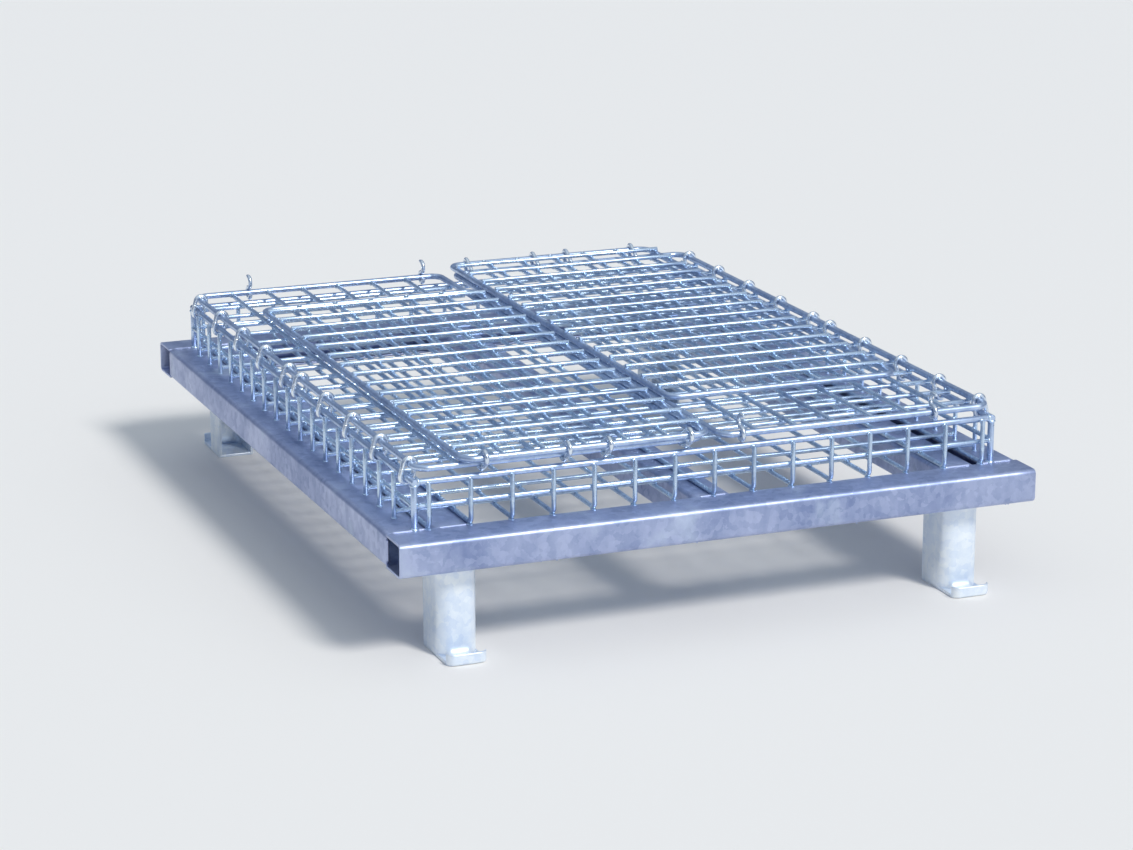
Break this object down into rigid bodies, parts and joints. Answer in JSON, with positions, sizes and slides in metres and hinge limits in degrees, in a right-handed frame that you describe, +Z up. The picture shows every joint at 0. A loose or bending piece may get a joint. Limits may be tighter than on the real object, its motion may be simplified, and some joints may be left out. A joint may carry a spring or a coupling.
{
  "type": "wire mesh container",
  "caption": "Folding welded wire mesh container on four legs, shown folded flat: mesh walls and end gates hinged over a mesh deck on a steel base.",
  "frame": {"origin": "on the floor, at the centre of the footprint", "axes": "+Z up; +Y along the long side, towards the rear; +X along the short side, to the right seen from the front"},
  "size_m": [0.8, 1, 0.2447],
  "materials": {
    "galvanised_sheet": "galvanised pressed steel with a cool blue-grey cast, spangled and slightly dulled",
    "galvanised_wire": "bright galvanised drawn wire",
    "galvanised_rod": "galvanised round bar",
    "zinc_plated_hooks": "brighter zinc-plated bent wire"
  },
  "bodies": {
    "base": {"deck_cross_wires": "galvanised_wire", "deck_long_wires": "galvanised_wire", "floor_channel_centre": "galvanised_sheet", "floor_channel_left": "galvanised_sheet", "floor_channel_right": "galvanised_sheet", "front_beam": "galvanised_sheet", "hinge_rod_left": "galvanised_rod", "hinge_rod_right": "galvanised_rod", "kerb_corner_posts": "galvanised_rod", "kerb_end_level_wires": "galvanised_wire", "kerb_end_rails": "galvanised_rod", "kerb_end_uprights": "galvanised_wire", "kerb_side_level_wires": "galvanised_wire", "kerb_side_uprights": "galvanised_wire", "left_beam": "galvanised_sheet", "leg_front_left": "galvanised_sheet", "leg_front_right": "galvanised_sheet", "leg_rear_left": "galvanised_sheet", "leg_rear_right": "galvanised_sheet", "rear_beam": "galvanised_sheet", "right_beam": "galvanised_sheet"},
    "left_wall": {"left_wall_gate_links": "zinc_plated_hooks", "left_wall_hinge_links": "zinc_plated_hooks", "left_wall_level_wires": "galvanised_wire", "left_wall_rails": "galvanised_rod", "left_wall_stiles": "galvanised_rod", "left_wall_upright_wires": "galvanised_wire"},
    "right_wall": {"right_wall_gate_links": "zinc_plated_hooks", "right_wall_hinge_links": "zinc_plated_hooks", "right_wall_level_wires": "galvanised_wire", "right_wall_rails": "galvanised_rod", "right_wall_stiles": "galvanised_rod", "right_wall_upright_wires": "galvanised_wire"},
    "front_gate": {"front_gate_hinge_rod": "galvanised_rod", "front_gate_level_wires": "galvanised_wire", "front_gate_rails": "galvanised_rod", "front_gate_stile": "galvanised_rod", "front_gate_upright_wires": "galvanised_wire"},
    "rear_gate": {"rear_gate_hinge_rod": "galvanised_rod", "rear_gate_level_wires": "galvanised_wire", "rear_gate_rails": "galvanised_rod", "rear_gate_stile": "galvanised_rod", "rear_gate_upright_wires": "galvanised_wire"},
    "rear_hook_lower": {"rear_hook_lower": "zinc_plated_hooks"},
    "rear_hook_upper": {"rear_hook_upper": "zinc_plated_hooks"},
    "front_hook_lower": {"front_hook_lower": "zinc_plated_hooks"},
    "front_hook_upper": {"front_hook_upper": "zinc_plated_hooks"}
  },
  "joints": [
    {"name": "left_wall_fold", "type": "hinge", "parent": "base", "child": "left_wall", "pos_m": [-0.365, 0, 0.205], "axis": [0, -1, 0], "range_deg": [0, 90]},
    {"name": "right_wall_fold", "type": "hinge", "parent": "base", "child": "right_wall", "pos_m": [0.365, 0, 0.205], "axis": [0, 1, 0], "range_deg": [0, 90]},
    {"name": "front_gate_swing", "type": "hinge", "parent": "left_wall", "child": "front_gate", "pos_m": [-0.161, -0.4646, 0.229], "axis": [1, 0, 0], "range_deg": [0, 270]},
    {"name": "rear_gate_swing", "type": "hinge", "parent": "right_wall", "child": "rear_gate", "pos_m": [0.161, 0.4646, 0.229], "axis": [-1, 0, 0], "range_deg": [0, 270]},
    {"name": "rear_hook_lower_swing", "type": "hinge", "parent": "left_wall", "child": "rear_hook_lower", "pos_m": [-0.286, 0.45, 0.22], "axis": [-1, 0, 0], "range_deg": [0, 90]},
    {"name": "front_hook_lower_swing", "type": "hinge", "parent": "right_wall", "child": "front_hook_lower", "pos_m": [0.286, -0.45, 0.22], "axis": [1, 0, 0], "range_deg": [0, 90]},
    {"name": "rear_hook_upper_swing", "type": "hinge", "parent": "left_wall", "child": "rear_hook_upper", "pos_m": [-0.036, 0.45, 0.22], "axis": [-1, 0, 0], "range_deg": [0, 90]},
    {"name": "front_hook_upper_swing", "type": "hinge", "parent": "right_wall", "child": "front_hook_upper", "pos_m": [0.036, -0.45, 0.22], "axis": [1, 0, 0], "range_deg": [0, 90]}
  ],
  "couplings": [
    {"joint": "front_gate_swing", "follows": "left_wall_fold", "ratio": 3},
    {"joint": "rear_gate_swing", "follows": "right_wall_fold", "ratio": 3}
  ]
}
